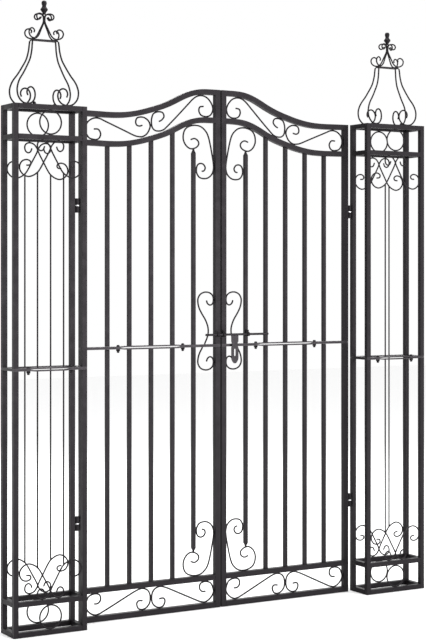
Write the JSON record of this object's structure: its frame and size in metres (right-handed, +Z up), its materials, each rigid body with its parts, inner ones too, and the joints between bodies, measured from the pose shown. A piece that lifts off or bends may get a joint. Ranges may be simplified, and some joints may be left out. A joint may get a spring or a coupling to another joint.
{
  "type": "double driveway gate",
  "caption": "Double-leaf wrought-iron gate with ogee tops and scrolls, hung between two lattice towers with scrolled crowns, closed by a sliding bolt.",
  "frame": {"origin": "centre of the flat foot of the left hinge post, at ground level", "axes": "+Z up, +X along the gate from the left tower to the right tower, +Y to the back, the side the leaves open to"},
  "size_m": [1.3, 0.087, 1.631],
  "materials": {
    "coated_steel": "satin charcoal powder coat on welded steel"
  },
  "bodies": {
    "towers": {"left_tower_posts": "coated_steel", "left_tower_rails": "coated_steel", "left_tower_middle_ring": "coated_steel", "left_tower_rods": "coated_steel", "left_tower_rings": "coated_steel", "left_tower_front_scrolls": "coated_steel", "left_tower_back_scrolls": "coated_steel", "left_crown_straps": "coated_steel", "left_crown_legs": "coated_steel", "left_crown_ring": "coated_steel", "left_crown_scrolls": "coated_steel", "left_finial": "coated_steel", "left_hinge_pins": "coated_steel", "right_tower_posts": "coated_steel", "right_tower_rails": "coated_steel", "right_tower_middle_ring": "coated_steel", "right_tower_rods": "coated_steel", "right_tower_rings": "coated_steel", "right_tower_front_scrolls": "coated_steel", "right_tower_back_scrolls": "coated_steel", "right_crown_straps": "coated_steel", "right_crown_legs": "coated_steel", "right_crown_ring": "coated_steel", "right_crown_scrolls": "coated_steel", "right_finial": "coated_steel", "right_hinge_pins": "coated_steel"},
    "left_leaf": {"left_leaf_stiles": "coated_steel", "left_leaf_top_rails": "coated_steel", "left_leaf_bottom_rails": "coated_steel", "left_leaf_middle_flats": "coated_steel", "left_leaf_bars": "coated_steel", "left_leaf_top_scrolls": "coated_steel", "left_leaf_bottom_scrolls": "coated_steel", "left_leaf_side_scrolls": "coated_steel", "left_hinge_sleeves": "coated_steel", "bolt_keeper": "coated_steel"},
    "right_leaf": {"right_leaf_stiles": "coated_steel", "right_leaf_top_rails": "coated_steel", "right_leaf_bottom_rails": "coated_steel", "right_leaf_middle_flats": "coated_steel", "right_leaf_bars": "coated_steel", "right_leaf_top_scrolls": "coated_steel", "right_leaf_bottom_scrolls": "coated_steel", "right_leaf_side_scrolls": "coated_steel", "right_hinge_sleeves": "coated_steel", "bolt_guides": "coated_steel"},
    "bolt": {"slide_bolt": "coated_steel"}
  },
  "joints": [
    {"name": "left_leaf_hinge", "type": "hinge", "parent": "towers", "child": "left_leaf", "pos_m": [0.01425, 0, 0.265], "axis": [0, 0, 1], "range_deg": [0, 85]},
    {"name": "right_leaf_hinge", "type": "hinge", "parent": "towers", "child": "right_leaf", "pos_m": [0.88875, 0, 0.265], "axis": [0, 0, -1], "range_deg": [0, 85]},
    {"name": "bolt_slide", "type": "slide", "parent": "right_leaf", "child": "bolt", "axis": [1, 0, 0], "range_m": [0, 0.056]}
  ]
}
